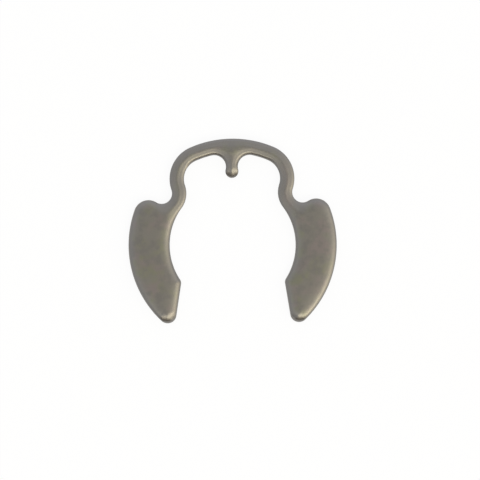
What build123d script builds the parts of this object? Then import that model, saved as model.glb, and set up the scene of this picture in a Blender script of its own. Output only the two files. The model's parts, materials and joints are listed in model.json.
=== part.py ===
from build123d import *

import os
from math import acos, atan, atan2, cos, degrees, radians, sin, sqrt, tan

# Radial snap ring: one flat blank of spring steel, pushed sideways into the groove of a shaft.
# Two crescent arms hold the shaft. A slim sprung bow joins them, and a ball-ended prong in the
# middle of the bow is the third point that the shaft bears on. Nothing is folded or joined.
#
# Millimetres and degrees. The origin is on the shaft axis, half way through the strip.
# +Y points to the bow, -Y out of the mouth, +Z out of the face with the rolled edges.
# Angles are polar angles about the shaft axis, from +X towards +Y.

# Strip
thickness = 1.07

# Arms
seat_radius = 5.90        # free radius of the edge that grips the shaft
arm_width = 3.85          # radial width of both arms
ear_radius = 1.38         # rounded upper end of an arm
tip_radius = 0.82         # rounded lower end of an arm
nose_radius = 0.62        # corner between the seat and the mouth
nose_angle = -35.0        # where the mouth line meets the seat
mouth_flare = 9.0         # lean of the mouth line from the ring's middle line

# Bow
band = 1.34               # width of the sprung band, the same all the way
crown_clearance = 2.71    # from the seat radius out to the crown's inner edge
shoulder_radius = 1.87    # inner radius of the two shoulders
notch_radius = 0.97       # relief between the band and an ear
notch_angle = 36.5        # where the band leaves the seat

# Prong
prong_clearance = 0.38    # from the seat radius out to the ball's end
ball_radius = 0.61
ball_proud = 0.055        # step from the neck out to the ball on each side

# Edges: blanking rolls the upper edge down a wide, shallow slope, and tumbling blends it
roll_width = 0.40
roll_depth = 0.20
roll_blend = 0.60         # between the slope and the upper face, less where the metal is narrow
wall_blend = 0.25         # between the slope and the wall
base_break = 0.10         # the lower edge, where the burr was, is only broken


def polar(radius, angle):
    """Point at a radius and an angle about the shaft axis."""
    return Vector(radius * cos(radians(angle)), radius * sin(radians(angle)))


def heading(start, end):
    """Direction in degrees, from 0 to 360, from one point to another."""
    return degrees(atan2(end.Y - start.Y, end.X - start.X)) % 360


def spread(side, other, opposite):
    """Angle between two sides of a triangle whose third side is opposite."""
    return degrees(acos((side**2 + other**2 - opposite**2) / (2 * side * other)))


def arc(centre, radius, start, end, turn=1):
    """Arc from one heading to another, anticlockwise for a turn of 1, clockwise for -1."""
    return CenterArc((centre.X, centre.Y), radius, start, turn * ((end - start) * turn % 360))


# Radii about the shaft axis
axis = Vector(0, 0)
arm_radius = seat_radius + arm_width
crown_inner = seat_radius + crown_clearance
crown_outer = crown_inner + band

# Ball, and the root fillet that touches the ball, the side of the neck and the crown's inner edge.
# The two touching circles put the fillet's centre at a height that falls evenly with its radius,
# and the neck puts it at neck + root_radius from the middle, which leaves one quadratic.
ball = Vector(0, seat_radius + prong_clearance + ball_radius)
neck = ball_radius - ball_proud
root_top = (ball.Y**2 + crown_inner**2 - ball_radius**2) / (2 * ball.Y)
root_fall = (crown_inner + ball_radius) / ball.Y
half_linear = root_top * root_fall - crown_inner - neck
constant = root_top**2 + neck**2 - crown_inner**2
root_radius = (half_linear - sqrt(half_linear**2 - root_fall**2 * constant)) / root_fall**2
root = Vector(neck + root_radius, root_top - root_fall * root_radius)

# Notch: the band bends round it, and its inner edge touches the seat at the notch angle
notch_reach = seat_radius + band + notch_radius
notch = polar(notch_reach, notch_angle)

# Shoulder: inside the crown, and touching the bend round the notch
shoulder_reach = crown_inner - shoulder_radius
shoulder_to_notch = shoulder_radius + band + notch_radius
shoulder_angle = notch_angle + spread(shoulder_reach, notch_reach, shoulder_to_notch)
shoulder = polar(shoulder_reach, shoulder_angle)

# Ear: inside the arm's outer edge, and touching the notch
ear_reach = arm_radius - ear_radius
ear_angle = notch_angle - spread(ear_reach, notch_reach, ear_radius + notch_radius)
ear = polar(ear_reach, ear_angle)

# Mouth line: its outward run, and the direction from it into the metal
mouth_run = polar(1, mouth_flare - 90)
mouth_inward = polar(1, mouth_flare)


def against_mouth(radius, reach):
    """Centre of a round that touches the mouth line, at a distance from the shaft axis."""
    start = polar(seat_radius, nose_angle) + mouth_inward * radius
    along = start.dot(mouth_run)
    return start + mouth_run * (sqrt(along**2 - start.dot(start) + reach**2) - along)


nose = against_mouth(nose_radius, seat_radius + nose_radius)
tip = against_mouth(tip_radius, arm_radius - tip_radius)

# The blend above the slope ends before the middle of the narrowest metal
blend_room = 0.98 * min(neck, nose_radius, tip_radius, band / 2) - roll_width
upper_blend = min(roll_blend, blend_room / tan(atan(roll_depth / roll_width) / 2))

with BuildPart() as snap_ring:
    with BuildSketch(Plane.XY.offset(-thickness / 2)):
        with BuildLine():
            # Inner edge of the right half, from the prong's end down to the mouth
            arc(ball, ball_radius, -90, heading(ball, root))
            arc(root, root_radius, heading(root, ball), heading(axis, root), turn=-1)
            arc(axis, crown_inner, heading(axis, root), shoulder_angle, turn=-1)
            arc(shoulder, shoulder_radius, shoulder_angle, heading(shoulder, notch), turn=-1)
            arc(notch, notch_radius + band, heading(notch, shoulder), notch_angle + 180)
            arc(axis, seat_radius, notch_angle, heading(axis, nose), turn=-1)
            arc(nose, nose_radius, heading(nose, axis), mouth_flare + 180)
            Line(nose - mouth_inward * nose_radius, tip - mouth_inward * tip_radius)
            # Outer edge, from the tip up over the ear and back along the bow
            arc(tip, tip_radius, mouth_flare + 180, heading(axis, tip))
            arc(axis, arm_radius, heading(axis, tip), ear_angle)
            arc(ear, ear_radius, ear_angle, heading(ear, notch))
            arc(notch, notch_radius, heading(notch, ear), heading(notch, shoulder), turn=-1)
            arc(shoulder, shoulder_radius + band, heading(shoulder, notch), shoulder_angle)
            arc(axis, crown_outer, shoulder_angle, 90)
            mirror(about=Plane.YZ)
        make_face()
    extrude(amount=thickness)

    # Rolled upper edge: a wide slope, blended into the upper face and then into the wall
    upper = snap_ring.faces().sort_by(Axis.Z)[-1]
    chamfer(upper.edges(), length=roll_width, length2=roll_depth, reference=upper)
    fillet(snap_ring.faces().sort_by(Axis.Z)[-1].edges(), radius=upper_blend)
    slope_foot = snap_ring.edges().filter_by_position(
        Axis.Z, thickness / 2 - roll_depth, thickness / 2 - roll_depth
    )
    fillet(slope_foot, radius=wall_blend)

    # Broken lower edge
    chamfer(snap_ring.faces().sort_by(Axis.Z)[0].edges(), length=base_break)

snap_ring.part.label = "snap_ring"

os.makedirs("parts", exist_ok=True)
export_step(snap_ring.part, "parts/snap_ring.step")
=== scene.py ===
"""Radial snap ring of tumbled spring steel, lying flat on a pale floor.

The ring is one stamped blank: two crescent arms, a sprung bow, and a ball-ended prong. Its upper
edges are rolled over by the stamping die and rounded in the tumbler. Its wall is smooth and finely
streaked where it was sheared, and torn below that. The outline is walked arc by arc, as a
draughtsman would with a compass, and worked into the solid with edit-mode tools and modifiers.

Modelling is in millimetres, and the finished ring is scaled to metres. The shaft axis is Z, the
bow lies towards +Y, the mouth opens towards -Y, and +Z is the face with the rolled edges.
"""

import json
import logging
from collections.abc import Callable
from dataclasses import dataclass, field
from enum import Enum
from math import acos, atan2, ceil, cos, degrees, radians, sin, sqrt, tan

import bmesh
import bpy
from mathutils import Matrix, Vector


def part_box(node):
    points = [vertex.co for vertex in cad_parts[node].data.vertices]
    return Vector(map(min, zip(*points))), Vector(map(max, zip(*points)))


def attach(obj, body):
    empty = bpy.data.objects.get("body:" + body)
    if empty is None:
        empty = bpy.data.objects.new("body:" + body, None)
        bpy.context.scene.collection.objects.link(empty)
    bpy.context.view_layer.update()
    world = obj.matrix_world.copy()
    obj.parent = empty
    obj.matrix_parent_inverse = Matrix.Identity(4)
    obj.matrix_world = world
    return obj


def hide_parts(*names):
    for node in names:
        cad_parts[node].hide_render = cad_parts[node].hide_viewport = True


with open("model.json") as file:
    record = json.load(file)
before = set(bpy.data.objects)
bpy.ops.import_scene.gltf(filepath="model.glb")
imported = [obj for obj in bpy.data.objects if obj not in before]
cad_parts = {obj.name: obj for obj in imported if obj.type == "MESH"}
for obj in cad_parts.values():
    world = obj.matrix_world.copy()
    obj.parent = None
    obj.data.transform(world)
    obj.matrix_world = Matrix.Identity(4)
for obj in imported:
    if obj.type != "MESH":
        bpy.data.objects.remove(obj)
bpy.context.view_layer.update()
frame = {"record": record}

log = logging.getLogger("snap_ring")

Colour = tuple[float, float, float, float]
Socket = bpy.types.NodeSocket

MM = 0.001
NODE = "snap_ring"
SLOT = "tumbled_steel"
UP = Vector((0.0, 0.0, 1.0))
WHITE: Colour = (1.0, 1.0, 1.0, 1.0)


class Turn(Enum):
    """Which way an arc runs, seen from above."""

    ANTICLOCKWISE = 1
    CLOCKWISE = -1


class Falloff(Enum):
    """How the face turns down towards a line: round and steep, eased, or bowed like a parabola."""

    ROUND = "ICON_SPHERECURVE"
    SOFT = "SMOOTH"
    BOWED = "SHARP"


def polar(radius: float, angle: float) -> Vector:
    """Return the point at a radius and an angle in degrees about the shaft axis."""
    return Vector((radius * cos(radians(angle)), radius * sin(radians(angle)), 0.0))


def toward(azimuth: float, tilt: float) -> Vector:
    """Return the direction at an azimuth and a tilt from straight up, both in degrees."""
    return polar(sin(radians(tilt)), azimuth) + UP * cos(radians(tilt))


def heading(start: Vector, end: Vector) -> float:
    """Return the direction in degrees, from 0 to 360, from one point to another."""
    return degrees(atan2(end.y - start.y, end.x - start.x)) % 360


def spread(side: float, other: float, opposite: float) -> float:
    """Return the angle in degrees between two sides of a triangle, from its three sides."""
    return degrees(acos((side**2 + other**2 - opposite**2) / (2 * side * other)))


def quarter_round(radius: float, rows: int) -> list[tuple[float, float]]:
    """Divide a quarter round into rows of equal turn.

    Args:
        radius: Radius of the round.
        rows: Number of rows.

    Returns:
        For each row, how far it runs in, and how far it drops.
    """
    steps = []
    for row in range(rows):
        low, high = (radians(90 * n / rows) for n in (row, row + 1))
        steps.append((radius * (cos(low) - cos(high)), radius * (sin(high) - sin(low))))
    return steps


@dataclass(frozen=True)
class Arc:
    """A stretch of the outline on one circle, from one heading to another, in degrees."""

    centre: Vector
    radius: float
    start: float
    end: float
    turn: Turn = Turn.ANTICLOCKWISE

    @property
    def sweep(self) -> float:
        """Angle that the arc runs through, in radians, positive when anticlockwise."""
        sign = self.turn.value
        return radians(sign * ((self.end - self.start) * sign % 360))


@dataclass(frozen=True)
class Run:
    """A straight stretch of the outline."""

    start: Vector
    end: Vector


@dataclass
class Outline:
    """The outline of the ring, worked out from its tangent arcs, in millimetres and degrees."""

    # The radii about the shaft axis, and the width of the band that makes the bow.
    seat_radius: float
    arm_radius: float
    crown_radius: float
    band: float = 1.34

    # The arm: the rounds of its ear, its tip and the nose of the seat, and the line of the mouth.
    ear_radius: float = 1.38
    tip_radius: float = 0.82
    nose_radius: float = 0.62
    nose_angle: float = -35.0
    mouth_flare: float = 9.0

    # The bow: the bend of its shoulder, and the notch between it and the ear.
    shoulder_radius: float = 1.87
    notch_radius: float = 0.97
    notch_angle: float = 36.5

    # The prong: its clearance from the seat, its ball, and the step from the ball to the neck.
    prong_clearance: float = 0.38
    ball_radius: float = 0.61
    ball_proud: float = 0.055

    # How far out on its round the end of a tip or of the ball begins, as a share of the radius,
    # and the factor within which a point counts as on a circle or a line.
    tip_share: float = 0.82
    ball_share: float = 0.82
    slack: float = 1.01

    @property
    def start(self) -> Vector:
        """Lowest point of the prong, where the outline starts."""
        return Vector((0.0, self.seat_radius + self.prong_clearance, 0.0))

    def against_mouth(self, radius: float, reach: float) -> Vector:
        """Find the centre of a round that touches the mouth line.

        Args:
            radius: Radius of the round.
            reach: Distance of its centre from the shaft axis.

        Returns:
            The centre of the round.
        """
        run = polar(1, self.mouth_flare - 90)
        start = polar(self.seat_radius, self.nose_angle) + polar(radius, self.mouth_flare)
        along = start.dot(run)
        return start + run * (sqrt(along**2 - start.dot(start) + reach**2) - along)

    def root(self, ball: Vector, inner: float) -> tuple[Vector, float]:
        """Find the fillet that touches the ball, the side of the neck and the crown.

        Args:
            ball: Centre of the ball.
            inner: Radius of the crown's inner edge.

        Returns:
            The centre and the radius of the fillet.
        """
        neck = self.ball_radius - self.ball_proud
        top = (ball.y**2 + inner**2 - self.ball_radius**2) / (2 * ball.y)
        fall = (inner + self.ball_radius) / ball.y
        half_linear = top * fall - inner - neck
        constant = top**2 + neck**2 - inner**2
        radius = (half_linear - sqrt(half_linear**2 - fall**2 * constant)) / fall**2
        return Vector((neck + radius, top - fall * radius, 0.0)), radius

    def right_half(self) -> list[Arc | Run]:
        """List the stretches from the prong's end, round the right arm, to the top of the bow.

        Returns:
            Arcs and one straight run, each starting where the last one ends.
        """
        axis = Vector((0.0, 0.0, 0.0))
        inner = self.crown_radius - self.band
        ball = self.start + Vector((0.0, self.ball_radius, 0.0))
        root, root_radius = self.root(ball, inner)

        notch_reach = self.seat_radius + self.band + self.notch_radius
        notch = polar(notch_reach, self.notch_angle)
        bend = self.notch_radius + self.band
        shoulder_reach = inner - self.shoulder_radius
        shoulder_angle = self.notch_angle + spread(
            shoulder_reach, notch_reach, self.shoulder_radius + bend
        )
        shoulder = polar(shoulder_reach, shoulder_angle)

        ear_reach = self.arm_radius - self.ear_radius
        ear_angle = self.notch_angle - spread(
            ear_reach, notch_reach, self.ear_radius + self.notch_radius
        )
        ear = polar(ear_reach, ear_angle)

        into_metal = polar(1, self.mouth_flare)
        mouth_heading = self.mouth_flare + 180
        nose = self.against_mouth(self.nose_radius, self.seat_radius + self.nose_radius)
        tip = self.against_mouth(self.tip_radius, self.arm_radius - self.tip_radius)

        clockwise = Turn.CLOCKWISE
        return [
            Arc(ball, self.ball_radius, 270, heading(ball, root)),
            Arc(root, root_radius, heading(root, ball), heading(axis, root), clockwise),
            Arc(axis, inner, heading(axis, root), shoulder_angle, clockwise),
            Arc(
                shoulder, self.shoulder_radius, shoulder_angle, heading(shoulder, notch),
                clockwise,
            ),
            Arc(notch, bend, heading(notch, shoulder), self.notch_angle + 180),
            Arc(axis, self.seat_radius, self.notch_angle, heading(axis, nose), clockwise),
            Arc(nose, self.nose_radius, heading(nose, axis), mouth_heading),
            Run(nose - into_metal * self.nose_radius, tip - into_metal * self.tip_radius),
            Arc(tip, self.tip_radius, mouth_heading, heading(axis, tip)),
            Arc(axis, self.arm_radius, heading(axis, tip), ear_angle),
            Arc(ear, self.ear_radius, ear_angle, heading(ear, notch)),
            Arc(
                notch, self.notch_radius, heading(notch, ear), heading(notch, shoulder),
                clockwise,
            ),
            Arc(
                shoulder, self.shoulder_radius + self.band, heading(shoulder, notch),
                shoulder_angle,
            ),
            Arc(axis, self.crown_radius, shoulder_angle, 90),
        ]

    def on_tip(self, point: Vector) -> bool:
        """Tell whether a point of the outline is on the middle of the round at either tip.

        Args:
            point: The point.

        Returns:
            Whether it is.
        """
        tip = self.against_mouth(self.tip_radius, self.arm_radius - self.tip_radius)
        middle = (self.mouth_flare + 180 + heading(Vector((0.0, 0.0, 0.0)), tip)) / 2
        out = Vector((abs(point.x), point.y, 0.0)) - tip
        reach = self.tip_radius * self.tip_share
        return out.length < self.tip_radius * self.slack and out.dot(polar(1, middle)) > reach

    def on_ball(self, point: Vector) -> bool:
        """Tell whether a point of the outline is on the lowest part of the ball."""
        lowest = self.start.y + self.ball_radius * (1 - self.ball_share)
        return abs(point.x) < self.ball_radius and point.y < lowest

    def on_crown(self, point: Vector) -> bool:
        """Tell whether a point of the outline is on the inner edge of the crown or at the root."""
        inner = (self.crown_radius - self.band) * self.slack
        return point.length < inner and point.y > self.start.y + 2 * self.ball_radius

    def on_bow(self, point: Vector) -> bool:
        """Tell whether a point of the outline is on the bow or the prong."""
        return point.y > abs(point.x) * tan(radians(self.notch_angle))

    def on_seat(self, point: Vector) -> bool:
        """Tell whether a point of the outline is on the seat or on a mouth line.

        Args:
            point: The point.

        Returns:
            Whether it is.
        """
        inward = polar(1, self.mouth_flare)
        mouth = polar(self.seat_radius, self.nose_angle).dot(inward)
        place = Vector((abs(point.x), point.y, 0.0))
        beside_mouth = point.y < 0 and place.dot(inward) < mouth * self.slack
        return beside_mouth or place.length < self.seat_radius * self.slack


class Bench:
    """Edit-mode work on one object at a time, with nothing else selected.

    Attributes:
        piece: The object that is worked on.
        facing: Least cosine of the angle from a direction to the normal of a face picked by it.
    """

    facing: float = 0.5

    def __init__(self, name: str) -> None:
        """Put a single vertex on the bench, at the origin.

        Args:
            name: Name of the new object.
        """
        bpy.ops.object.select_all(action="DESELECT")
        bpy.ops.mesh.primitive_plane_add(size=1.0)
        self.piece = bpy.context.object
        self.piece.name = name
        self.piece.data.name = name
        self.edit()
        bpy.ops.mesh.select_all(action="SELECT")
        bpy.ops.mesh.merge(type="CENTER")

    def take(self, piece: bpy.types.Object) -> None:
        """Put another piece on the bench, as the only one selected.

        Args:
            piece: The piece.
        """
        self.rest()
        self.piece = piece
        bpy.ops.object.select_all(action="DESELECT")
        piece.select_set(True)
        bpy.context.view_layer.objects.active = piece

    def edit(self) -> None:
        """Go into edit mode."""
        bpy.ops.object.mode_set(mode="EDIT")

    def rest(self) -> None:
        """Go back to object mode."""
        if bpy.context.object and bpy.context.object.mode != "OBJECT":
            bpy.ops.object.mode_set(mode="OBJECT")

    def move(self, step: Vector) -> None:
        """Move what is selected by a step."""
        bpy.ops.transform.translate(value=step)

    def walk(self, stretch: Arc | Run, pace: float, turn: float) -> None:
        """Draw a stretch of outline by walking the selected vertex along it.

        Args:
            stretch: The arc or the straight run.
            pace: Longest edge.
            turn: Largest turn from one edge to the next, in radians.
        """
        if isinstance(stretch, Run):
            step = stretch.end - stretch.start
            count = ceil(step.length / pace)
            for _ in range(count):
                bpy.ops.mesh.extrude_region_move(TRANSFORM_OT_translate={"value": step / count})
            return
        sweep = stretch.sweep
        count = ceil(max(abs(sweep) * stretch.radius / pace, abs(sweep) / turn))
        # The spin tool turns clockwise by a positive angle.
        bpy.ops.mesh.spin(
            steps=count, dupli=False, angle=-sweep, center=stretch.centre, axis=(0, 0, 1),
            use_auto_merge=False,
        )

    def pick_faces(self, way: Vector) -> None:
        """Select only the faces that look in a direction.

        Args:
            way: The direction, as a vector of length 1.
        """
        bpy.ops.mesh.select_mode(type="FACE")
        bpy.ops.mesh.select_all(action="DESELECT")
        mesh = bmesh.from_edit_mesh(self.piece.data)
        mesh.normal_update()
        for face in mesh.faces:
            if face.normal.dot(way) > self.facing:
                face.select_set(True)
        bmesh.update_edit_mesh(self.piece.data)

    def pick_points(self, wanted: Callable[[Vector], bool]) -> None:
        """Select only the vertices whose place passes a test.

        Args:
            wanted: The test.
        """
        bpy.ops.mesh.select_mode(type="VERT")
        bpy.ops.mesh.select_all(action="DESELECT")
        mesh = bmesh.from_edit_mesh(self.piece.data)
        for vertex in mesh.verts:
            vertex.select_set(wanted(vertex.co))
        mesh.select_flush_mode()
        bmesh.update_edit_mesh(self.piece.data)

    def inset(self, width: float, drop: float = 0.0) -> None:
        """Inset the selected faces evenly, and move them along their normals.

        Args:
            width: Width of the new faces.
            drop: How far the inner faces move out along their normals.
        """
        bpy.ops.mesh.inset(
            thickness=width, depth=drop, use_even_offset=True, use_relative_offset=False
        )

    def apply(self, name: str) -> None:
        """Apply one modifier of the piece."""
        bpy.ops.object.modifier_apply(modifier=name)


@dataclass(frozen=True)
class Roll:
    """A rounding of the upper face that falls away towards an edge or an end, in millimetres.

    A roll that sinks lowers the face near its line. Any other one lifts the face elsewhere.
    """

    reach: float
    depth: float
    falloff: Falloff
    sinks: bool = False


@dataclass(frozen=True)
class Zone:
    """A zone of the upper face, where each point is weighted by its distance from a line.

    Attributes:
        name: Name of the vertex group.
        roll: How far the weight reaches, and what it does to the face.
        line: Name of the scribed line.
        mask: Name of another zone, if any. Outside that one every point has its full weight.
    """

    name: str
    roll: Roll
    line: str
    mask: str = ""


@dataclass
class SnapRing:
    """The ring itself: sizes in millimetres, and the steps that make it."""

    outline: Outline
    thickness: float

    # The rounding of the upper face, and the length over which the bow's gives way to the arms'.
    edge_roll: Roll = Roll(0.30, 0.15, Falloff.ROUND)
    wide_roll: Roll = Roll(0.64, 0.07, Falloff.ROUND)
    seat_roll: Roll = Roll(0.85, 0.03, Falloff.ROUND)
    bow_roll: Roll = Roll(1.10, 0.13, Falloff.BOWED)
    crown_roll: Roll = Roll(1.40, 0.16, Falloff.ROUND)
    tip_roll: Roll = Roll(0.87, 0.29, Falloff.BOWED, sinks=True)
    ball_roll: Roll = Roll(0.94, 0.33, Falloff.BOWED, sinks=True)
    lip_roll: Roll = Roll(0.30, 0.13, Falloff.BOWED, sinks=True)
    bow_fade: float = 2.0

    # The wall: the height where the smooth land ends, the taper below it, and the broken edge.
    land_foot: float = -0.20
    torn_taper: float = 0.045
    burr_break: float = 0.09
    foot_row: float = 0.15

    # The mesh: its longest edge and largest turn along the outline, the rows of faces along the
    # edge of the upper face and the grid inside them, and the rows of the torn and broken wall.
    pace: float = 0.10
    largest_turn: float = radians(6)
    roll_rows: int = 9
    rows_width: float = 0.50
    grid: float = 0.14
    torn_rows: int = 3
    break_rows: int = 3

    # The smoothing of the bow's ridge, and the sharpest edge that is shaded smooth.
    ridge_zone: float = 0.065
    ridge_passes: int = 20
    ridge_factor: float = 0.5
    smooth_angle: float = radians(40)

    # How near counts as on the middle line or at a level, and how near as on a cut or as one point.
    nearness: float = 0.001
    weld: float = 0.0001

    bench: Bench = field(init=False)

    @property
    def top(self) -> float:
        """Height of the upper face."""
        return self.thickness / 2

    @property
    def brow(self) -> float:
        """Height that the upper face is lifted from."""
        rolls = (self.edge_roll, self.wide_roll, self.seat_roll, self.bow_roll, self.crown_roll)
        return self.top - sum(roll.depth for roll in rolls)

    def build(self) -> bpy.types.Object:
        """Make the ring.

        Returns:
            The finished object, in metres, at the origin.
        """
        self.bench = Bench("steel_ring")
        self.draw_outline()
        scribes = {
            "edge": self.scribe_outline(lambda point: True),
            "bow": self.scribe_outline(self.outline.on_bow),
            "seat": self.scribe_outline(self.outline.on_seat),
            "tip": self.scribe_outline(self.outline.on_tip),
            "ball": self.scribe_outline(self.outline.on_ball),
            "lip": self.scribe_outline(self.outline.on_crown),
        }
        self.fill_blank()
        self.shear_wall()
        self.divide_face()
        self.roll_edges(scribes)
        self.soften_ridges()
        self.finish_mesh()
        return self.bench.piece

    def draw_outline(self) -> None:
        """Walk the right half of the outline, and mirror it into a closed loop."""
        bench = self.bench
        bench.move(self.outline.start + UP * self.brow)
        for stretch in self.outline.right_half():
            bench.walk(stretch, self.pace, self.largest_turn)
        bench.rest()
        mirror = bench.piece.modifiers.new("mirror", "MIRROR")
        mirror.merge_threshold = self.nearness
        bench.apply(mirror.name)

    def scribe_outline(self, wanted: Callable[[Vector], bool]) -> bpy.types.Object:
        """Copy a part of the outline, as a line that the rolled edge is measured from.

        Args:
            wanted: Test for the points of the outline that are kept.

        Returns:
            The copy.
        """
        bench = self.bench
        ring = bench.piece
        bpy.ops.object.duplicate()
        bench.take(bpy.context.object)
        bench.edit()
        bench.pick_points(lambda point: not wanted(point))
        bpy.ops.mesh.delete(type="VERT")
        scribe = bench.piece
        bench.take(ring)
        return scribe

    def fill_blank(self) -> None:
        """Fill the outline with one face, and give it the depth of the sheared wall."""
        bench = self.bench
        bench.edit()
        bpy.ops.mesh.select_mode(type="EDGE")
        bpy.ops.mesh.select_all(action="SELECT")
        bpy.ops.mesh.edge_face_add()
        bpy.ops.mesh.select_mode(type="FACE")
        drop = UP * (self.land_foot - self.brow)
        bpy.ops.mesh.extrude_region_move(TRANSFORM_OT_translate={"value": drop})
        bpy.ops.mesh.select_all(action="SELECT")
        bpy.ops.mesh.normals_make_consistent(inside=False)

    def shear_wall(self) -> None:
        """Taper the torn part of the wall, and break the burr edge below it."""
        bench = self.bench
        bench.pick_faces(-UP)
        drop = self.land_foot + self.top - self.burr_break
        for _ in range(self.torn_rows):
            bench.inset(self.torn_taper / self.torn_rows, drop / self.torn_rows)
        for width, fall in quarter_round(self.burr_break, self.break_rows):
            bench.inset(width, fall)
        bench.inset(self.foot_row)

    def divide_face(self) -> None:
        """Give the upper face rings of narrow faces along its edge, and a grid inside them."""
        bench = self.bench
        bench.pick_faces(UP)
        for width, _ in quarter_round(self.rows_width, self.roll_rows):
            bench.inset(width)
        bpy.ops.mesh.hide(unselected=True)
        line = self.outline
        for normal, low, high in (
            ((1.0, 0.0, 0.0), -line.arm_radius, line.arm_radius),
            ((0.0, 1.0, 0.0), -line.arm_radius, line.crown_radius),
        ):
            for n in range(ceil(low / self.grid), ceil(high / self.grid)):
                bpy.ops.mesh.select_all(action="SELECT")
                bpy.ops.mesh.bisect(
                    plane_co=Vector(normal) * n * self.grid, plane_no=normal, threshold=self.weld
                )
        bpy.ops.mesh.reveal()

    def roll_edges(self, scribes: dict[str, bpy.types.Object]) -> None:
        """Lift the upper face by how far each point lies from the outline.

        Each roll lifts the face by its depth, less and less towards its line, or sinks the face
        near its line. The wide rolls of the arms fade out towards the bow, and the dome of the
        bow towards the arms. Where a roll has faded out, it lifts everything alike.

        Args:
            scribes: The whole outline, and its parts on the bow, seat, tips, ball and crown.
        """
        bench = self.bench
        level = self.brow
        bench.pick_points(lambda point: abs(point.z - level) < self.nearness)
        masks = (
            Zone("off bow", Roll(self.bow_fade, 0.0, Falloff.SOFT), "bow"),
            Zone("on bow", Roll(self.bow_fade, 0.0, Falloff.SOFT, sinks=True), "bow"),
        )
        lifts = (
            Zone("edge", self.edge_roll, "edge"),
            Zone("wide", self.wide_roll, "edge", "off bow"),
            Zone("seat", self.seat_roll, "seat", "off bow"),
            Zone("bow", self.bow_roll, "edge", "on bow"),
            Zone("crown", self.crown_roll, "edge", "off bow"),
            Zone("tip", self.tip_roll, "tip"),
            Zone("ball", self.ball_roll, "ball"),
            Zone("lip", self.lip_roll, "lip"),
        )
        for zone in masks + lifts:
            bench.piece.vertex_groups.new(name=zone.name)
            bpy.ops.object.vertex_group_assign()
        bench.rest()
        for zone in masks + lifts:
            self.weigh(zone, scribes[zone.line])
        for zone in lifts:
            self.lift(zone)
        bench.piece.vertex_groups.clear()
        for scribe in scribes.values():
            bpy.data.objects.remove(scribe)

    def weigh(self, zone: Zone, line: bpy.types.Object) -> None:
        """Weight the points of a zone by their distance from its line.

        Args:
            zone: The zone.
            line: The scribed line.
        """
        roll = zone.roll
        near = self.bench.piece.modifiers.new(zone.name, "VERTEX_WEIGHT_PROXIMITY")
        near.vertex_group = zone.name
        near.target = line
        near.proximity_mode = "GEOMETRY"
        near.proximity_geometry = {"EDGE"}
        near.min_dist, near.max_dist = (roll.reach, 0.0) if roll.sinks else (0.0, roll.reach)
        near.falloff_type = roll.falloff.value
        near.mask_vertex_group = zone.mask
        self.bench.apply(near.name)

    def lift(self, zone: Zone) -> None:
        """Lift or sink each point of a zone by the depth of its roll, times its weight.

        Args:
            zone: The zone.
        """
        roll = zone.roll
        rise = self.bench.piece.modifiers.new(zone.name, "DISPLACE")
        rise.vertex_group = zone.name
        rise.direction = "Z"
        rise.mid_level = 0.0
        rise.strength = -roll.depth if roll.sinks else roll.depth
        self.bench.apply(rise.name)

    def soften_ridges(self) -> None:
        """Smooth the ridge along the bow, where the rolls of its two edges meet."""
        bench = self.bench
        line = self.outline
        level = self.top - self.ridge_zone
        bench.edit()
        bench.pick_points(lambda point: point.z > level and line.on_bow(point))
        bpy.ops.mesh.vertices_smooth(
            factor=self.ridge_factor, repeat=self.ridge_passes, xaxis=False, yaxis=False
        )
        bench.rest()

    def finish_mesh(self) -> None:
        """Clean the mesh, shade it smooth up to its true edges, and scale it to metres."""
        bench = self.bench
        bench.edit()
        bpy.ops.mesh.select_all(action="SELECT")
        bpy.ops.mesh.remove_doubles(threshold=self.weld)
        bpy.ops.mesh.normals_make_consistent(inside=False)
        bench.rest()
        bench.piece.scale = (MM, MM, MM)
        bpy.ops.object.transform_apply(location=True, rotation=True, scale=True)
        bpy.ops.object.shade_smooth_by_angle(angle=self.smooth_angle)


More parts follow.
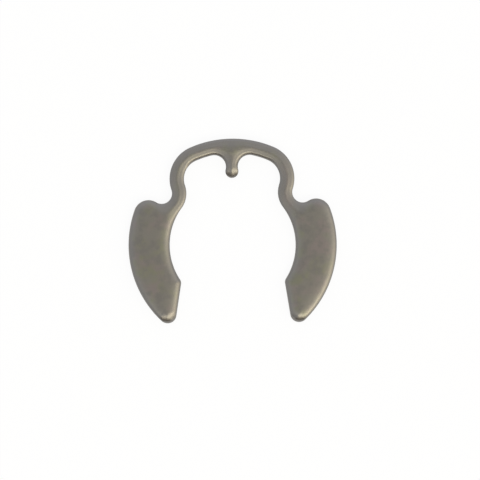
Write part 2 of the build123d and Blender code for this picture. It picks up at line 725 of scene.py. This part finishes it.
class Graph:
    """A node tree under construction."""

    def __init__(self, tree: bpy.types.NodeTree) -> None:
        """Start from an empty tree.

        Args:
            tree: The tree of a material, a world or a node group.
        """
        self.tree = tree
        tree.nodes.clear()

    def add(self, kind: str, settings: dict | None = None, **inputs: object) -> bpy.types.Node:
        """Add a node.

        Args:
            kind: Node type, such as ShaderNodeMath.
            settings: Properties of the node itself.
            inputs: Values or sockets for its inputs, with an underscore for each space.

        Returns:
            The new node.
        """
        node = self.tree.nodes.new(kind)
        for name, value in (settings or {}).items():
            setattr(node, name, value)
        for name, value in inputs.items():
            self.feed(node.inputs[name.replace("_", " ")], value)
        return node

    def use(self, group: bpy.types.NodeTree, **inputs: object) -> bpy.types.NodeOutputs:
        """Place a node group.

        Args:
            group: The group.
            inputs: Values or sockets for its inputs, with an underscore for each space.

        Returns:
            The outputs of the group.
        """
        return self.add("ShaderNodeGroup", {"node_tree": group}, **inputs).outputs

    def feed(self, socket: Socket, value: object) -> None:
        """Link a socket to an input, or set the input to a value.

        Args:
            socket: The input.
            value: The socket or the value.
        """
        if isinstance(value, Socket):
            self.tree.links.new(value, socket)
        else:
            socket.default_value = value

    def math(self, operation: str, *values: object) -> Socket:
        """Add a Math node.

        Args:
            operation: What it does, such as ADD.
            values: Numbers or sockets that it works on.

        Returns:
            The result.
        """
        node = self.add("ShaderNodeMath", {"operation": operation})
        for socket, value in zip(node.inputs, values):
            self.feed(socket, value)
        return node.outputs[0]

    def vector(self, operation: str, *values: object, output: str = "Vector") -> Socket:
        """Add a Vector Math node.

        Args:
            operation: What it does, such as ADD.
            values: Vectors or sockets that it works on.
            output: Name of the output that holds the result.

        Returns:
            The result.
        """
        node = self.add("ShaderNodeVectorMath", {"operation": operation})
        for socket, value in zip(node.inputs, values):
            self.feed(socket, value)
        return node.outputs[output]

    def step(self, value: Socket, low: float, high: float) -> Socket:
        """Turn a value into a mask by a smooth step.

        Args:
            value: The value.
            low: Where the mask is 0.
            high: Where the mask is 1.

        Returns:
            The mask.
        """
        node = self.add(
            "ShaderNodeMapRange", {"interpolation_type": "SMOOTHSTEP"}, Value=value, From_Min=low,
            From_Max=high,
        )
        return node.outputs["Result"]

    def mix(self, factor: Socket, first: object, second: object) -> Socket:
        """Blend two colours.

        Args:
            factor: Share of the second colour.
            first: The first colour, or its socket.
            second: The second colour, or its socket.

        Returns:
            The blend.
        """
        node = self.add("ShaderNodeMix", {"data_type": "RGBA"})
        # Inputs 6 and 7 and output 2 are the sockets for colours.
        self.feed(node.inputs[0], factor)
        self.feed(node.inputs[6], first)
        self.feed(node.inputs[7], second)
        return node.outputs[2]

    def noise(self, place: Socket, size: Socket, detail: float = 2.0) -> Socket:
        """Add a noise whose features have about a given size.

        Args:
            place: The coordinates, in metres.
            size: Size of a feature, in metres.
            detail: How many finer layers it has.

        Returns:
            The noise, about 0.5.
        """
        scale = self.math("DIVIDE", 1.0, size)
        node = self.add("ShaderNodeTexNoise", Vector=place, Scale=scale, Detail=detail)
        return node.outputs["Fac"]

    def bump(self, height: Socket, depth: float, under: Socket | None = None) -> Socket:
        """Add a relief to the surface.

        Args:
            height: The relief.
            depth: Height in metres of a relief of 1.
            under: Normal of the relief that this one lies on, if there is one.

        Returns:
            The normal of the surface with the relief.
        """
        node = self.add("ShaderNodeBump", Height=height, Distance=depth)
        if under is not None:
            self.feed(node.inputs["Normal"], under)
        return node.outputs["Normal"]


class GroupGraph(Graph):
    """A shader node group under construction.

    Attributes:
        source: The inputs of the group, as sockets to take from.
        sink: The outputs of the group, as sockets to feed.
    """

    def __init__(self, name: str, inputs: dict[str, str], outputs: dict[str, str]) -> None:
        """Start from an empty group.

        Args:
            name: Name of the group.
            inputs: Input names, and the socket type of each.
            outputs: Output names, and the socket type of each.
        """
        super().__init__(bpy.data.node_groups.new(name, "ShaderNodeTree"))
        for sockets, way in ((inputs, "INPUT"), (outputs, "OUTPUT")):
            for socket, kind in sockets.items():
                self.tree.interface.new_socket(
                    socket, in_out=way, socket_type=f"NodeSocket{kind}"
                )
        self.source = self.add("NodeGroupInput").outputs
        self.sink = self.add("NodeGroupOutput").inputs


class Ramp(Enum):
    """Range of a value, often a noise about 0.5, over which a mask rises from 0 to 1."""

    DENTS = (0.45, 0.62)
    OLIVE = (0.44, 0.62)
    RUSSET = (0.46, 0.64)
    SMUT = (0.42, 0.70)
    STREAKS = (0.42, 0.66)
    UPRIGHT = (0.40, 0.10)


# Ratio of the size of a wave to that of a dent, and of a speck of smut to that of a blotch.
WAVE_RATIO = 5.0
SMUT_RATIO = 0.45

# Shift in metres of the russet pattern from the olive one, so that they don't coincide.
APART = (0.1, 0.1, 0.1)

# Scale of the coordinates that draws spots out into upright streaks.
DRAWN_OUT = (1.0, 1.0, 0.04)


def tumble_marks() -> bpy.types.NodeTree:
    """Make the group for the fine dents that tumbling leaves.

    Returns:
        The group: Place and Size in, Height and Mask out.
    """
    graph = GroupGraph(
        "tumble marks", {"Place": "Vector", "Size": "Float"}, {"Height": "Float", "Mask": "Float"}
    )
    source, sink = graph.source, graph.sink
    dents = graph.noise(source["Place"], source["Size"], detail=3.0)
    waves = graph.noise(source["Place"], graph.math("MULTIPLY", source["Size"], WAVE_RATIO))
    graph.feed(sink["Height"], graph.math("ADD", dents, waves))
    graph.feed(sink["Mask"], graph.step(dents, *Ramp.DENTS.value))
    return graph.tree


def temper_tint() -> bpy.types.NodeTree:
    """Make the group for the faint blotches of temper colour under the oil film.

    Returns:
        The group: Place, Size and four colours in, Color out.
    """
    graph = GroupGraph(
        "temper tint",
        {
            "Place": "Vector", "Size": "Float", "Steel": "Color", "Olive": "Color",
            "Russet": "Color", "Smut": "Color",
        },
        {"Color": "Color"},
    )
    source, sink = graph.source, graph.sink
    place, size = source["Place"], source["Size"]
    olive = graph.step(graph.noise(place, size), *Ramp.OLIVE.value)
    shifted = graph.vector("ADD", place, APART)
    russet = graph.step(graph.noise(shifted, size), *Ramp.RUSSET.value)
    fine = graph.math("MULTIPLY", size, SMUT_RATIO)
    smut = graph.step(graph.noise(place, fine, detail=3.0), *Ramp.SMUT.value)
    colour = graph.mix(olive, source["Steel"], source["Olive"])
    colour = graph.mix(russet, colour, source["Russet"])
    graph.feed(sink["Color"], graph.mix(smut, colour, source["Smut"]))
    return graph.tree


def torn_wall() -> bpy.types.NodeTree:
    """Make the group for the torn lower part of a sheared wall.

    Returns:
        The group: Place, the heights Top and Foot that the tears keep between, Tear Width, Tear
        Height and Grit Size in, Mask and Height out.
    """
    graph = GroupGraph(
        "torn wall",
        {
            "Place": "Vector", "Top": "Float", "Foot": "Float", "Tear Width": "Float",
            "Tear Height": "Float", "Grit Size": "Float",
        },
        {"Mask": "Float", "Height": "Float"},
    )
    source, sink = graph.source, graph.sink
    place = source["Place"]
    height = graph.add("ShaderNodeSeparateXYZ", Vector=place).outputs["Z"]
    tears = graph.noise(place, source["Tear Width"])
    line = graph.math("ADD", height, graph.math("MULTIPLY", tears, source["Tear Height"]))
    below = graph.math("LESS_THAN", line, source["Top"])
    above = graph.math("GREATER_THAN", height, source["Foot"])
    mask = graph.math("MULTIPLY", below, above)
    graph.feed(sink["Mask"], mask)
    grit = graph.noise(place, source["Grit Size"], detail=4.0)
    graph.feed(sink["Height"], graph.math("MULTIPLY", mask, grit))
    return graph.tree


def sheared_land() -> bpy.types.NodeTree:
    """Make the group for the fine upright streaks that the die leaves on a sheared wall.

    Returns:
        The group: Place, Facing and Size in, Mask and Height out.
    """
    graph = GroupGraph(
        "sheared land",
        {"Place": "Vector", "Facing": "Vector", "Size": "Float"},
        {"Mask": "Float", "Height": "Float"},
    )
    source, sink = graph.source, graph.sink
    streaks = graph.noise(graph.vector("MULTIPLY", source["Place"], DRAWN_OUT), source["Size"])
    rise = graph.add("ShaderNodeSeparateXYZ", Vector=source["Facing"]).outputs["Z"]
    wall = graph.step(graph.math("ABSOLUTE", rise), *Ramp.UPRIGHT.value)
    drawn = graph.step(streaks, *Ramp.STREAKS.value)
    graph.feed(sink["Mask"], graph.math("MULTIPLY", wall, drawn))
    graph.feed(sink["Height"], graph.math("MULTIPLY", wall, streaks))
    return graph.tree


@dataclass(frozen=True)
class TumbledSteel:
    """Bare spring steel, tempered, tumbled and lightly oiled. Lengths are in metres."""

    # The face, its blotches, the worn edge and wall, the streaks and the tears.
    steel: Colour = (0.250, 0.239, 0.213, 1.0)
    olive: Colour = (0.247, 0.245, 0.188, 1.0)
    russet: Colour = (0.266, 0.236, 0.222, 1.0)
    smut: Colour = (0.223, 0.213, 0.196, 1.0)
    worn: Colour = (0.242, 0.230, 0.212, 1.0)
    drawn: Colour = (0.180, 0.170, 0.154, 1.0)
    torn: Colour = (0.150, 0.139, 0.124, 1.0)

    # Roughness of the face and of its dents, and what wear and tears add to it.
    face_rough: float = 0.32
    dent_rough: float = 0.38
    worn_rough: float = 0.06
    torn_rough: float = 0.25

    # Size of a blotch, a dent, a streak and a grain of grit, and the depth of their relief.
    blotch: float = 1.8 * MM
    dent: float = 0.09 * MM
    dent_depth: float = 0.0012 * MM
    streak: float = 0.05 * MM
    streak_depth: float = 0.004 * MM
    grit: float = 0.05 * MM
    grit_depth: float = 0.025 * MM

    # Width and height of a tear, and how far above the foot of the land the highest one may end.
    tear_width: float = 0.25 * MM
    tear_height: float = 0.16 * MM
    tear_rise: float = 0.10 * MM

    # How far below the upper face the wear is full. Further down it stays so, between the tears.
    worn_drop: float = 0.16 * MM

    def material(self, ring: SnapRing) -> bpy.types.Material:
        """Make the material.

        Args:
            ring: The ring, whose heights place the worn edge and the torn wall.

        Returns:
            The material, in metres on Object coordinates.
        """
        material = bpy.data.materials.new(SLOT)
        material.use_nodes = True
        graph = Graph(material.node_tree)
        coordinates = graph.add("ShaderNodeTexCoord").outputs
        place = coordinates["Object"]

        marks = graph.use(tumble_marks(), Place=place, Size=self.dent)
        land = graph.use(
            sheared_land(), Place=place, Facing=coordinates["Normal"], Size=self.streak
        )
        tears = graph.use(
            torn_wall(), Place=place, Top=ring.land_foot * MM + self.tear_rise,
            Foot=(ring.burr_break - ring.top) * MM, Tear_Width=self.tear_width,
            Tear_Height=self.tear_height, Grit_Size=self.grit,
        )
        height = graph.add("ShaderNodeSeparateXYZ", Vector=place).outputs["Z"]
        worn = graph.step(height, ring.top * MM, ring.top * MM - self.worn_drop)
        worn = graph.math("MULTIPLY", worn, graph.math("SUBTRACT", 1.0, tears["Mask"]))

        relief = graph.bump(marks["Height"], self.dent_depth)
        relief = graph.bump(land["Height"], self.streak_depth, under=relief)
        relief = graph.bump(tears["Height"], self.grit_depth, under=relief)
        shader = graph.add(
            "ShaderNodeBsdfPrincipled",
            Base_Color=self.colour(graph, place, worn, land["Mask"], tears["Mask"]),
            Roughness=self.roughness(graph, marks["Mask"], worn, tears["Mask"]),
            Metallic=1.0,
            Normal=relief,
        )
        graph.add("ShaderNodeOutputMaterial", Surface=shader.outputs["BSDF"])
        return material

    def colour(
        self, graph: Graph, place: Socket, worn: Socket, drawn: Socket, torn: Socket
    ) -> Socket:
        """Colour the blotched face, and over it the worn edge, the streaks and the tears.

        Args:
            graph: The material under construction.
            place: The coordinates.
            worn: Mask of the worn edge.
            drawn: Mask of the streaks.
            torn: Mask of the tears.

        Returns:
            The colour.
        """
        tint = graph.use(
            temper_tint(), Place=place, Size=self.blotch, Steel=self.steel, Olive=self.olive,
            Russet=self.russet, Smut=self.smut,
        )
        colour = graph.mix(worn, tint["Color"], self.worn)
        colour = graph.mix(drawn, colour, self.drawn)
        return graph.mix(torn, colour, self.torn)

    def roughness(self, graph: Graph, dented: Socket, worn: Socket, torn: Socket) -> Socket:
        """Roughen the dents, the worn edge and the tears.

        Args:
            graph: The material under construction.
            dented: Mask of the dents.
            worn: Mask of the worn edge.
            torn: Mask of the tears.

        Returns:
            The roughness.
        """
        face = graph.add(
            "ShaderNodeMapRange", Value=dented, To_Min=self.face_rough, To_Max=self.dent_rough
        )
        edge = graph.math("MULTIPLY", worn, self.worn_rough)
        tears = graph.math("MULTIPLY", torn, self.torn_rough)
        return graph.math("ADD", graph.math("ADD", face.outputs["Result"], edge), tears)


@dataclass(frozen=True)
class PaleFloor:
    """A matt white sheet that shows as plain white, and keeps the ring's soft shadow."""

    paper: Colour = (0.85, 0.85, 0.85, 1.0)

    # Share of plain white in what the eye and the ring's reflections see of it.
    glow_share: float = 0.93

    def material(self) -> bpy.types.Material:
        """Make the material.

        Returns:
            The material: matt to the ring's light, and mostly plain white to the eye.
        """
        material = bpy.data.materials.new("pale_paper")
        material.use_nodes = True
        graph = Graph(material.node_tree)
        ray = graph.add("ShaderNodeLightPath").outputs
        seen = graph.math("MAXIMUM", ray["Is Camera Ray"], ray["Is Glossy Ray"])
        seen = graph.math("MAXIMUM", seen, ray["Is Transmission Ray"])
        matt = graph.add("ShaderNodeBsdfDiffuse", Color=self.paper)
        glow = graph.add("ShaderNodeEmission", Color=WHITE, Strength=1.0)
        share = graph.math("MULTIPLY", seen, self.glow_share)
        both = graph.add("ShaderNodeMixShader", Fac=share)
        graph.feed(both.inputs[1], matt.outputs[0])
        graph.feed(both.inputs[2], glow.outputs[0])
        graph.add("ShaderNodeOutputMaterial", Surface=both.outputs[0])
        return material


@dataclass(frozen=True)
class Patch:
    """A round part of the room that is lighter or darker than the rest.

    Attributes:
        azimuth: Direction of its middle, in degrees.
        tilt: Angle of its middle from straight up, in degrees.
        full: Angle from its middle where it begins to fade, in degrees.
        faded: Angle from its middle where it has faded out, in degrees.
        colour: Its light.
    """

    azimuth: float
    tilt: float
    full: float
    faded: float
    colour: Colour

    @property
    def away(self) -> Vector:
        """Direction of the middle of the patch."""
        return toward(self.azimuth, self.tilt)


# What the ring reflects, apart from the even room.
SILL = Patch(azimuth=80.0, tilt=60.0, full=20.0, faded=65.0, colour=(0.92, 0.94, 1.02, 1.0))
WALL = Patch(azimuth=-30.0, tilt=56.0, full=16.0, faded=55.0, colour=(1.66, 1.54, 1.30, 1.0))
DOORWAY = Patch(azimuth=-93.0, tilt=80.0, full=24.0, faded=48.0, colour=(0.11, 0.075, 0.06, 1.0))
OVERHEAD = Patch(azimuth=0.0, tilt=0.0, full=8.0, faded=18.0, colour=(0.40, 0.38, 0.35, 1.0))


@dataclass
class Studio:
    """The floor, the light and the camera, in metres."""

    floor_level: float
    floor_size: float = 4.0

    # The warm window: a lamp whose place is seen from the ring, in degrees.
    key_azimuth: float = -66.0
    key_tilt: float = 36.0
    key_distance: float = 1.20
    key_size: tuple[float, float] = (0.65, 1.10)
    key_power: float = 5.0
    key_colour: tuple[float, float, float] = (1.0, 0.93, 0.70)

    # The room, each patch over the ones before it.
    room: Colour = (0.78, 0.80, 0.84, 1.0)
    patches: tuple[Patch, ...] = (SILL, WALL, DOORWAY, OVERHEAD)

    # The camera: the width that it sees, how far it stands off the axis, and its turn in degrees.
    camera_height: float = 0.30
    view_width: float = 0.044975
    view_shift: Vector = field(default_factory=lambda: Vector((0.000689, 0.000460, 0.0)))
    view_roll: float = -0.577
    sensor: float = 36.0
    near_clip: float = 0.003

    def build(self) -> None:
        """Set up the whole studio."""
        self.lay_floor()
        self.light_room()
        self.hang_key()
        self.place_camera()
        bpy.context.scene.view_settings.view_transform = "Standard"

    def lay_floor(self) -> None:
        """Lay the floor under the ring."""
        bpy.ops.object.select_all(action="DESELECT")
        bpy.ops.mesh.primitive_plane_add(size=self.floor_size, location=(0, 0, self.floor_level))
        floor = bpy.context.object
        floor.name = "floor"
        floor.data.materials.append(PaleFloor().material())
        log.info("floor: %.1f m square", self.floor_size)

    def light_room(self) -> None:
        """Light the room evenly, but for its patches, and show it to the eye as plain white."""
        world = bpy.data.worlds.new("room")
        world.use_nodes = True
        bpy.context.scene.world = world
        graph = Graph(world.node_tree)
        way = graph.add("ShaderNodeTexCoord").outputs["Generated"]
        colour = self.room
        for patch in self.patches:
            facing = graph.vector("DOT_PRODUCT", way, patch.away, output="Value")
            share = graph.step(facing, cos(radians(patch.faded)), cos(radians(patch.full)))
            colour = graph.mix(share, colour, patch.colour)
        seen = graph.add("ShaderNodeLightPath").outputs["Is Camera Ray"]
        colour = graph.mix(seen, colour, WHITE)
        shine = graph.add("ShaderNodeBackground", Color=colour, Strength=1.0)
        graph.add("ShaderNodeOutputWorld", Surface=shine.outputs[0])

    def hang_key(self) -> None:
        """Hang the warm window light, to the right of the mouth."""
        away = toward(self.key_azimuth, self.key_tilt)
        bpy.ops.object.light_add(type="AREA", location=away * self.key_distance)
        lamp = bpy.context.object
        lamp.name = "window"
        lamp.rotation_euler = (0.0, radians(self.key_tilt), radians(self.key_azimuth))
        lamp.data.shape = "RECTANGLE"
        lamp.data.size, lamp.data.size_y = self.key_size
        lamp.data.energy = self.key_power
        lamp.data.color = self.key_colour

    def place_camera(self) -> None:
        """Put the camera straight above the ring."""
        bpy.ops.object.camera_add()
        camera = bpy.context.object
        turn = Matrix.Rotation(radians(self.view_roll), 3, "Z")
        camera.location = turn @ self.view_shift + UP * self.camera_height
        camera.rotation_euler = (0.0, 0.0, radians(self.view_roll))
        camera.data.sensor_width = self.sensor
        camera.data.lens = self.sensor * self.camera_height / self.view_width
        camera.data.clip_start = self.near_clip
        bpy.context.scene.camera = camera


def main() -> None:
    """Build the ring and its studio."""
    logging.basicConfig(level=logging.INFO, format="%(name)s: %(message)s")
    low, high = (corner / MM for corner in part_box(NODE))
    mounts = {mount["name"]: mount for mount in frame["record"]["mounts"]}
    outline = Outline(
        seat_radius=mounts["shaft_seat"]["dims"]["r_mm"], arm_radius=high.x, crown_radius=high.y
    )
    ring = SnapRing(outline, thickness=high.z - low.z)
    piece = ring.build()
    piece.data.materials.append(TumbledSteel().material(ring))
    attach(piece, "root")
    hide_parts(NODE)
    log.info("%s: %d vertices", piece.name, len(piece.data.vertices))
    Studio(floor_level=low.z * MM).build()


if __name__ == "__main__":
    main()
